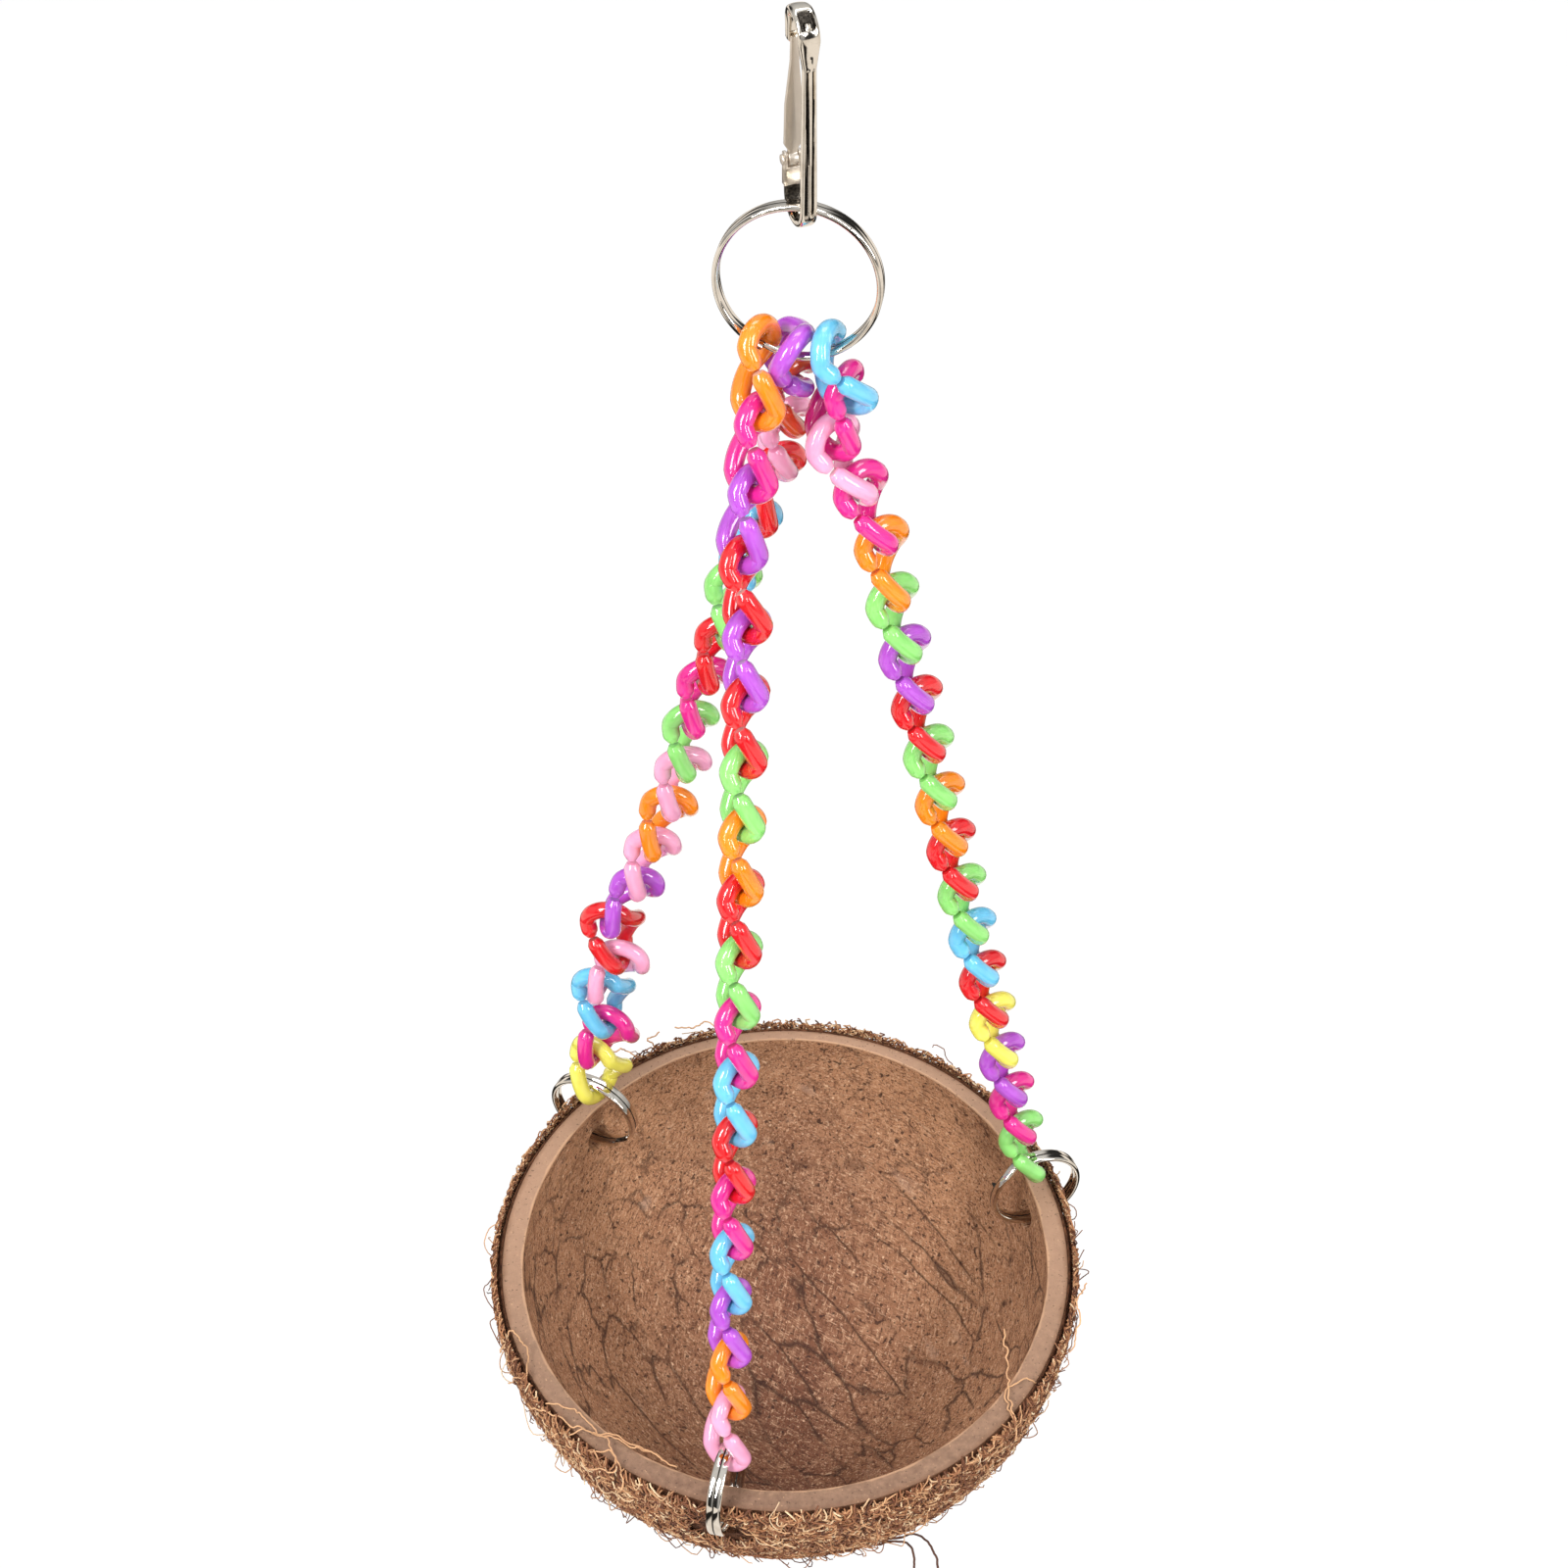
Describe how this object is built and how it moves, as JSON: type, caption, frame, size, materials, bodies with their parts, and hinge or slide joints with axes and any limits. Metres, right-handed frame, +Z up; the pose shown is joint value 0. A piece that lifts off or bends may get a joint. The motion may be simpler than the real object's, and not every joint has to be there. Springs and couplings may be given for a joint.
{
  "type": "bird swing",
  "caption": "Hanging bird swing: half a coconut shell on plastic link chains and split rings, hung from a sprung snap hook.",
  "frame": {"origin": "centre of the snap hook's throat, where the swing hangs on a bar", "axes": "+Z up, +X to the right in the picture, +Y to the back; the hook hangs the swing down along -Z"},
  "size_m": [0.1189, 0.119, 0.345],
  "materials": {
    "nickel": "polished nickel plate",
    "shell": "sanded coconut shell",
    "coir": "matted coir fibre",
    "orange_plastic": "glossy, slightly translucent",
    "magenta_plastic": "glossy, slightly translucent",
    "pink_plastic": "glossy, slightly translucent",
    "purple_plastic": "glossy, slightly translucent",
    "red_plastic": "glossy, slightly translucent",
    "green_plastic": "glossy, slightly translucent",
    "blue_plastic": "glossy, slightly translucent",
    "yellow_plastic": "glossy, slightly translucent"
  },
  "bodies": {
    "hook": {"snap_hook": "nickel", "gate_rivet": "nickel"},
    "gate": {"hook_gate": "nickel"},
    "top_ring": {"top_split_ring": "nickel"},
    "bowl": {"coconut_shell": "shell", "coir_coat": "coir"},
    "front_ring": {"front_split_ring": "nickel"},
    "right_ring": {"right_split_ring": "nickel"},
    "left_ring": {"left_split_ring": "nickel"},
    "front_middle_links": {"front_links_9_10": "red_plastic"},
    "front_link_1": {"front_link_1": "orange_plastic"},
    "front_link_2": {"front_link_2": "magenta_plastic"},
    "front_link_3": {"front_link_3": "purple_plastic"},
    "front_link_4": {"front_link_4": "red_plastic"},
    "front_link_5": {"front_link_5": "purple_plastic"},
    "front_link_6": {"front_link_6": "red_plastic"},
    "front_link_7": {"front_link_7": "green_plastic"},
    "front_link_8": {"front_link_8": "orange_plastic"},
    "front_link_11": {"front_link_11": "magenta_plastic"},
    "front_link_12": {"front_link_12": "blue_plastic"},
    "front_link_13": {"front_link_13": "red_plastic"},
    "front_link_14": {"front_link_14": "magenta_plastic"},
    "front_link_15": {"front_link_15": "blue_plastic"},
    "front_link_16": {"front_link_16": "purple_plastic"},
    "front_link_17": {"front_link_17": "orange_plastic"},
    "front_link_18": {"front_link_18": "pink_plastic"},
    "right_middle_links": {"right_links_9_10": "green_plastic"},
    "right_link_1": {"right_link_1": "blue_plastic"},
    "right_link_2": {"right_link_2": "magenta_plastic"},
    "right_link_3": {"right_link_3": "pink_plastic"},
    "right_link_4": {"right_link_4": "magenta_plastic"},
    "right_link_5": {"right_link_5": "orange_plastic"},
    "right_link_6": {"right_link_6": "green_plastic"},
    "right_link_7": {"right_link_7": "purple_plastic"},
    "right_link_8": {"right_link_8": "red_plastic"},
    "right_link_11": {"right_link_11": "red_plastic"},
    "right_link_12": {"right_link_12": "green_plastic"},
    "right_link_13": {"right_link_13": "blue_plastic"},
    "right_link_14": {"right_link_14": "red_plastic"},
    "right_link_15": {"right_link_15": "yellow_plastic"},
    "right_link_16": {"right_link_16": "purple_plastic"},
    "right_link_17": {"right_link_17": "magenta_plastic"},
    "right_link_18": {"right_link_18": "green_plastic"},
    "left_middle_links": {"left_links_9_10": "green_plastic"},
    "left_link_1": {"left_link_1": "purple_plastic"},
    "left_link_2": {"left_link_2": "orange_plastic"},
    "left_link_3": {"left_link_3": "pink_plastic"},
    "left_link_4": {"left_link_4": "red_plastic"},
    "left_link_5": {"left_link_5": "blue_plastic"},
    "left_link_6": {"left_link_6": "green_plastic"},
    "left_link_7": {"left_link_7": "red_plastic"},
    "left_link_8": {"left_link_8": "magenta_plastic"},
    "left_link_11": {"left_link_11": "orange_plastic"},
    "left_link_12": {"left_link_12": "pink_plastic"},
    "left_link_13": {"left_link_13": "purple_plastic"},
    "left_link_14": {"left_link_14": "red_plastic"},
    "left_link_15": {"left_link_15": "pink_plastic"},
    "left_link_16": {"left_link_16": "blue_plastic"},
    "left_link_17": {"left_link_17": "magenta_plastic"},
    "left_link_18": {"left_link_18": "yellow_plastic"}
  },
  "joints": [
    {"name": "gate_pivot", "type": "hinge", "parent": "hook", "child": "gate", "pos_m": [-0.00125, 0.00343, -0.0248], "axis": [0.9397, 0.342, 0], "range_deg": [0, 11], "stiffness_Nm_per_rad": 0.02},
    {"name": "top_ring_swing", "type": "hinge", "parent": "hook", "child": "top_ring", "pos_m": [0, 0, -0.03128], "axis": [0.9877, -0.1564, 0], "range_deg": [-25, 25]},
    {"name": "bowl_swing", "type": "hinge", "parent": "top_ring", "child": "bowl", "pos_m": [-0.00029, -0.0018, -0.04425], "axis": [0.1549, 0.9781, -0.1392], "range_deg": [-30, 30]},
    {"name": "front_ring_turn", "type": "hinge", "parent": "bowl", "child": "front_ring", "pos_m": [-0.01357, -0.05627, -0.28817], "axis": [0.9646, -0.2611, 0.0381], "continuous": true},
    {"name": "right_ring_turn", "type": "hinge", "parent": "bowl", "child": "right_ring", "pos_m": [0.04847, 0.01169, -0.28069], "axis": [-0.3401, 0.9404, 0.0014], "continuous": true},
    {"name": "left_ring_turn", "type": "hinge", "parent": "bowl", "child": "left_ring", "pos_m": [-0.04169, 0.03073, -0.27868], "axis": [-0.4567, -0.888, -0.0535], "continuous": true},
    {"name": "front_chain_twist", "type": "hinge", "parent": "bowl", "child": "front_middle_links", "pos_m": [-0.01074, -0.02813, -0.16703], "axis": [0.0227, 0.2262, 0.9738], "range_deg": [-15, 20]},
    {"name": "front_link_1_twist", "type": "hinge", "parent": "bowl", "child": "front_link_1", "pos_m": [-0.01074, -0.02813, -0.16703], "axis": [0.0227, 0.2262, 0.9738], "range_deg": [-1.81, 2.25]},
    {"name": "front_link_2_twist", "type": "hinge", "parent": "bowl", "child": "front_link_2", "pos_m": [-0.01074, -0.02813, -0.16703], "axis": [0.0227, 0.2262, 0.9738], "range_deg": [-4.4, 5.7]},
    {"name": "front_link_3_twist", "type": "hinge", "parent": "bowl", "child": "front_link_3", "pos_m": [-0.01074, -0.02813, -0.16703], "axis": [0.0227, 0.2262, 0.9738], "range_deg": [-6.86, 8.98]},
    {"name": "front_link_4_twist", "type": "hinge", "parent": "bowl", "child": "front_link_4", "pos_m": [-0.01074, -0.02813, -0.16703], "axis": [0.0227, 0.2262, 0.9738], "range_deg": [-9.14, 12.02]},
    {"name": "front_link_5_twist", "type": "hinge", "parent": "bowl", "child": "front_link_5", "pos_m": [-0.01074, -0.02813, -0.16703], "axis": [0.0227, 0.2262, 0.9738], "range_deg": [-11.15, 14.7]},
    {"name": "front_link_6_twist", "type": "hinge", "parent": "bowl", "child": "front_link_6", "pos_m": [-0.01074, -0.02813, -0.16703], "axis": [0.0227, 0.2262, 0.9738], "range_deg": [-12.83, 16.95]},
    {"name": "front_link_7_twist", "type": "hinge", "parent": "bowl", "child": "front_link_7", "pos_m": [-0.01074, -0.02813, -0.16703], "axis": [0.0227, 0.2262, 0.9738], "range_deg": [-14.15, 18.7]},
    {"name": "front_link_8_twist", "type": "hinge", "parent": "bowl", "child": "front_link_8", "pos_m": [-0.01074, -0.02813, -0.16703], "axis": [0.0227, 0.2262, 0.9738], "range_deg": [-15.04, 19.89]},
    {"name": "front_link_11_twist", "type": "hinge", "parent": "bowl", "child": "front_link_11", "pos_m": [-0.01074, -0.02813, -0.16703], "axis": [0.0227, 0.2262, 0.9738], "range_deg": [-15.04, 19.89]},
    {"name": "front_link_12_twist", "type": "hinge", "parent": "bowl", "child": "front_link_12", "pos_m": [-0.01074, -0.02813, -0.16703], "axis": [0.0227, 0.2262, 0.9738], "range_deg": [-14.15, 18.7]},
    {"name": "front_link_13_twist", "type": "hinge", "parent": "bowl", "child": "front_link_13", "pos_m": [-0.01074, -0.02813, -0.16703], "axis": [0.0227, 0.2262, 0.9738], "range_deg": [-12.83, 16.95]},
    {"name": "front_link_14_twist", "type": "hinge", "parent": "bowl", "child": "front_link_14", "pos_m": [-0.01074, -0.02813, -0.16703], "axis": [0.0227, 0.2262, 0.9738], "range_deg": [-11.15, 14.7]},
    {"name": "front_link_15_twist", "type": "hinge", "parent": "bowl", "child": "front_link_15", "pos_m": [-0.01074, -0.02813, -0.16703], "axis": [0.0227, 0.2262, 0.9738], "range_deg": [-9.14, 12.02]},
    {"name": "front_link_16_twist", "type": "hinge", "parent": "bowl", "child": "front_link_16", "pos_m": [-0.01074, -0.02813, -0.16703], "axis": [0.0227, 0.2262, 0.9738], "range_deg": [-6.86, 8.98]},
    {"name": "front_link_17_twist", "type": "hinge", "parent": "bowl", "child": "front_link_17", "pos_m": [-0.01074, -0.02813, -0.16703], "axis": [0.0227, 0.2262, 0.9738], "range_deg": [-4.4, 5.7]},
    {"name": "front_link_18_twist", "type": "hinge", "parent": "bowl", "child": "front_link_18", "pos_m": [-0.01074, -0.02813, -0.16703], "axis": [0.0227, 0.2262, 0.9738], "range_deg": [-1.81, 2.25]},
    {"name": "right_chain_twist", "type": "hinge", "parent": "bowl", "child": "right_middle_links", "pos_m": [0.02594, 0.00337, -0.16385], "axis": [-0.1889, -0.0698, 0.9795], "range_deg": [-25, 25]},
    {"name": "right_link_1_twist", "type": "hinge", "parent": "bowl", "child": "right_link_1", "pos_m": [0.02594, 0.00337, -0.16385], "axis": [-0.1889, -0.0698, 0.9795], "range_deg": [-2.69, 2.69]},
    {"name": "right_link_2_twist", "type": "hinge", "parent": "bowl", "child": "right_link_2", "pos_m": [0.02594, 0.00337, -0.16385], "axis": [-0.1889, -0.0698, 0.9795], "range_deg": [-6.99, 6.99]},
    {"name": "right_link_3_twist", "type": "hinge", "parent": "bowl", "child": "right_link_3", "pos_m": [0.02594, 0.00337, -0.16385], "axis": [-0.1889, -0.0698, 0.9795], "range_deg": [-11.11, 11.11]},
    {"name": "right_link_4_twist", "type": "hinge", "parent": "bowl", "child": "right_link_4", "pos_m": [0.02594, 0.00337, -0.16385], "axis": [-0.1889, -0.0698, 0.9795], "range_deg": [-14.89, 14.89]},
    {"name": "right_link_5_twist", "type": "hinge", "parent": "bowl", "child": "right_link_5", "pos_m": [0.02594, 0.00337, -0.16385], "axis": [-0.1889, -0.0698, 0.9795], "range_deg": [-18.25, 18.25]},
    {"name": "right_link_6_twist", "type": "hinge", "parent": "bowl", "child": "right_link_6", "pos_m": [0.02594, 0.00337, -0.16385], "axis": [-0.1889, -0.0698, 0.9795], "range_deg": [-21.06, 21.06]},
    {"name": "right_link_7_twist", "type": "hinge", "parent": "bowl", "child": "right_link_7", "pos_m": [0.02594, 0.00337, -0.16385], "axis": [-0.1889, -0.0698, 0.9795], "range_deg": [-23.25, 23.25]},
    {"name": "right_link_8_twist", "type": "hinge", "parent": "bowl", "child": "right_link_8", "pos_m": [0.02594, 0.00337, -0.16385], "axis": [-0.1889, -0.0698, 0.9795], "range_deg": [-24.74, 24.74]},
    {"name": "right_link_11_twist", "type": "hinge", "parent": "bowl", "child": "right_link_11", "pos_m": [0.02594, 0.00337, -0.16385], "axis": [-0.1889, -0.0698, 0.9795], "range_deg": [-24.74, 24.74]},
    {"name": "right_link_12_twist", "type": "hinge", "parent": "bowl", "child": "right_link_12", "pos_m": [0.02594, 0.00337, -0.16385], "axis": [-0.1889, -0.0698, 0.9795], "range_deg": [-23.25, 23.25]},
    {"name": "right_link_13_twist", "type": "hinge", "parent": "bowl", "child": "right_link_13", "pos_m": [0.02594, 0.00337, -0.16385], "axis": [-0.1889, -0.0698, 0.9795], "range_deg": [-21.06, 21.06]},
    {"name": "right_link_14_twist", "type": "hinge", "parent": "bowl", "child": "right_link_14", "pos_m": [0.02594, 0.00337, -0.16385], "axis": [-0.1889, -0.0698, 0.9795], "range_deg": [-18.25, 18.25]},
    {"name": "right_link_15_twist", "type": "hinge", "parent": "bowl", "child": "right_link_15", "pos_m": [0.02594, 0.00337, -0.16385], "axis": [-0.1889, -0.0698, 0.9795], "range_deg": [-14.89, 14.89]},
    {"name": "right_link_16_twist", "type": "hinge", "parent": "bowl", "child": "right_link_16", "pos_m": [0.02594, 0.00337, -0.16385], "axis": [-0.1889, -0.0698, 0.9795], "range_deg": [-11.11, 11.11]},
    {"name": "right_link_17_twist", "type": "hinge", "parent": "bowl", "child": "right_link_17", "pos_m": [0.02594, 0.00337, -0.16385], "axis": [-0.1889, -0.0698, 0.9795], "range_deg": [-6.99, 6.99]},
    {"name": "right_link_18_twist", "type": "hinge", "parent": "bowl", "child": "right_link_18", "pos_m": [0.02594, 0.00337, -0.16385], "axis": [-0.1889, -0.0698, 0.9795], "range_deg": [-2.69, 2.69]},
    {"name": "left_chain_twist", "type": "hinge", "parent": "bowl", "child": "left_middle_links", "pos_m": [-0.02054, 0.01292, -0.16352], "axis": [0.1786, -0.1504, 0.9724], "range_deg": [-15, 15]},
    {"name": "left_link_1_twist", "type": "hinge", "parent": "bowl", "child": "left_link_1", "pos_m": [-0.02054, 0.01292, -0.16352], "axis": [0.1786, -0.1504, 0.9724], "range_deg": [-1.81, 1.81]},
    {"name": "left_link_2_twist", "type": "hinge", "parent": "bowl", "child": "left_link_2", "pos_m": [-0.02054, 0.01292, -0.16352], "axis": [0.1786, -0.1504, 0.9724], "range_deg": [-4.4, 4.4]},
    {"name": "left_link_3_twist", "type": "hinge", "parent": "bowl", "child": "left_link_3", "pos_m": [-0.02054, 0.01292, -0.16352], "axis": [0.1786, -0.1504, 0.9724], "range_deg": [-6.86, 6.86]},
    {"name": "left_link_4_twist", "type": "hinge", "parent": "bowl", "child": "left_link_4", "pos_m": [-0.02054, 0.01292, -0.16352], "axis": [0.1786, -0.1504, 0.9724], "range_deg": [-9.14, 9.14]},
    {"name": "left_link_5_twist", "type": "hinge", "parent": "bowl", "child": "left_link_5", "pos_m": [-0.02054, 0.01292, -0.16352], "axis": [0.1786, -0.1504, 0.9724], "range_deg": [-11.15, 11.15]},
    {"name": "left_link_6_twist", "type": "hinge", "parent": "bowl", "child": "left_link_6", "pos_m": [-0.02054, 0.01292, -0.16352], "axis": [0.1786, -0.1504, 0.9724], "range_deg": [-12.83, 12.83]},
    {"name": "left_link_7_twist", "type": "hinge", "parent": "bowl", "child": "left_link_7", "pos_m": [-0.02054, 0.01292, -0.16352], "axis": [0.1786, -0.1504, 0.9724], "range_deg": [-14.15, 14.15]},
    {"name": "left_link_8_twist", "type": "hinge", "parent": "bowl", "child": "left_link_8", "pos_m": [-0.02054, 0.01292, -0.16352], "axis": [0.1786, -0.1504, 0.9724], "range_deg": [-15.04, 15.04]},
    {"name": "left_link_11_twist", "type": "hinge", "parent": "bowl", "child": "left_link_11", "pos_m": [-0.02054, 0.01292, -0.16352], "axis": [0.1786, -0.1504, 0.9724], "range_deg": [-15.04, 15.04]},
    {"name": "left_link_12_twist", "type": "hinge", "parent": "bowl", "child": "left_link_12", "pos_m": [-0.02054, 0.01292, -0.16352], "axis": [0.1786, -0.1504, 0.9724], "range_deg": [-14.15, 14.15]},
    {"name": "left_link_13_twist", "type": "hinge", "parent": "bowl", "child": "left_link_13", "pos_m": [-0.02054, 0.01292, -0.16352], "axis": [0.1786, -0.1504, 0.9724], "range_deg": [-12.83, 12.83]},
    {"name": "left_link_14_twist", "type": "hinge", "parent": "bowl", "child": "left_link_14", "pos_m": [-0.02054, 0.01292, -0.16352], "axis": [0.1786, -0.1504, 0.9724], "range_deg": [-11.15, 11.15]},
    {"name": "left_link_15_twist", "type": "hinge", "parent": "bowl", "child": "left_link_15", "pos_m": [-0.02054, 0.01292, -0.16352], "axis": [0.1786, -0.1504, 0.9724], "range_deg": [-9.14, 9.14]},
    {"name": "left_link_16_twist", "type": "hinge", "parent": "bowl", "child": "left_link_16", "pos_m": [-0.02054, 0.01292, -0.16352], "axis": [0.1786, -0.1504, 0.9724], "range_deg": [-6.86, 6.86]},
    {"name": "left_link_17_twist", "type": "hinge", "parent": "bowl", "child": "left_link_17", "pos_m": [-0.02054, 0.01292, -0.16352], "axis": [0.1786, -0.1504, 0.9724], "range_deg": [-4.4, 4.4]},
    {"name": "left_link_18_twist", "type": "hinge", "parent": "bowl", "child": "left_link_18", "pos_m": [-0.02054, 0.01292, -0.16352], "axis": [0.1786, -0.1504, 0.9724], "range_deg": [-1.81, 1.81]}
  ],
  "couplings": [
    {"joint": "front_link_1_twist", "follows": "front_chain_twist", "ratio": 0.0875},
    {"joint": "front_link_2_twist", "follows": "front_chain_twist", "ratio": 0.2598},
    {"joint": "front_link_3_twist", "follows": "front_chain_twist", "ratio": 0.4242},
    {"joint": "front_link_4_twist", "follows": "front_chain_twist", "ratio": 0.5758},
    {"joint": "front_link_5_twist", "follows": "front_chain_twist", "ratio": 0.7098},
    {"joint": "front_link_6_twist", "follows": "front_chain_twist", "ratio": 0.8223},
    {"joint": "front_link_7_twist", "follows": "front_chain_twist", "ratio": 0.9098},
    {"joint": "front_link_8_twist", "follows": "front_chain_twist", "ratio": 0.9696},
    {"joint": "front_link_11_twist", "follows": "front_chain_twist", "ratio": 0.9696},
    {"joint": "front_link_12_twist", "follows": "front_chain_twist", "ratio": 0.9098},
    {"joint": "front_link_13_twist", "follows": "front_chain_twist", "ratio": 0.8223},
    {"joint": "front_link_14_twist", "follows": "front_chain_twist", "ratio": 0.7098},
    {"joint": "front_link_15_twist", "follows": "front_chain_twist", "ratio": 0.5758},
    {"joint": "front_link_16_twist", "follows": "front_chain_twist", "ratio": 0.4242},
    {"joint": "front_link_17_twist", "follows": "front_chain_twist", "ratio": 0.2598},
    {"joint": "front_link_18_twist", "follows": "front_chain_twist", "ratio": 0.0875},
    {"joint": "right_link_1_twist", "follows": "right_chain_twist", "ratio": 0.0875},
    {"joint": "right_link_2_twist", "follows": "right_chain_twist", "ratio": 0.2598},
    {"joint": "right_link_3_twist", "follows": "right_chain_twist", "ratio": 0.4242},
    {"joint": "right_link_4_twist", "follows": "right_chain_twist", "ratio": 0.5758},
    {"joint": "right_link_5_twist", "follows": "right_chain_twist", "ratio": 0.7098},
    {"joint": "right_link_6_twist", "follows": "right_chain_twist", "ratio": 0.8223},
    {"joint": "right_link_7_twist", "follows": "right_chain_twist", "ratio": 0.9098},
    {"joint": "right_link_8_twist", "follows": "right_chain_twist", "ratio": 0.9696},
    {"joint": "right_link_11_twist", "follows": "right_chain_twist", "ratio": 0.9696},
    {"joint": "right_link_12_twist", "follows": "right_chain_twist", "ratio": 0.9098},
    {"joint": "right_link_13_twist", "follows": "right_chain_twist", "ratio": 0.8223},
    {"joint": "right_link_14_twist", "follows": "right_chain_twist", "ratio": 0.7098},
    {"joint": "right_link_15_twist", "follows": "right_chain_twist", "ratio": 0.5758},
    {"joint": "right_link_16_twist", "follows": "right_chain_twist", "ratio": 0.4242},
    {"joint": "right_link_17_twist", "follows": "right_chain_twist", "ratio": 0.2598},
    {"joint": "right_link_18_twist", "follows": "right_chain_twist", "ratio": 0.0875},
    {"joint": "left_link_1_twist", "follows": "left_chain_twist", "ratio": 0.0875},
    {"joint": "left_link_2_twist", "follows": "left_chain_twist", "ratio": 0.2598},
    {"joint": "left_link_3_twist", "follows": "left_chain_twist", "ratio": 0.4242},
    {"joint": "left_link_4_twist", "follows": "left_chain_twist", "ratio": 0.5758},
    {"joint": "left_link_5_twist", "follows": "left_chain_twist", "ratio": 0.7098},
    {"joint": "left_link_6_twist", "follows": "left_chain_twist", "ratio": 0.8223},
    {"joint": "left_link_7_twist", "follows": "left_chain_twist", "ratio": 0.9098},
    {"joint": "left_link_8_twist", "follows": "left_chain_twist", "ratio": 0.9696},
    {"joint": "left_link_11_twist", "follows": "left_chain_twist", "ratio": 0.9696},
    {"joint": "left_link_12_twist", "follows": "left_chain_twist", "ratio": 0.9098},
    {"joint": "left_link_13_twist", "follows": "left_chain_twist", "ratio": 0.8223},
    {"joint": "left_link_14_twist", "follows": "left_chain_twist", "ratio": 0.7098},
    {"joint": "left_link_15_twist", "follows": "left_chain_twist", "ratio": 0.5758},
    {"joint": "left_link_16_twist", "follows": "left_chain_twist", "ratio": 0.4242},
    {"joint": "left_link_17_twist", "follows": "left_chain_twist", "ratio": 0.2598},
    {"joint": "left_link_18_twist", "follows": "left_chain_twist", "ratio": 0.0875}
  ]
}
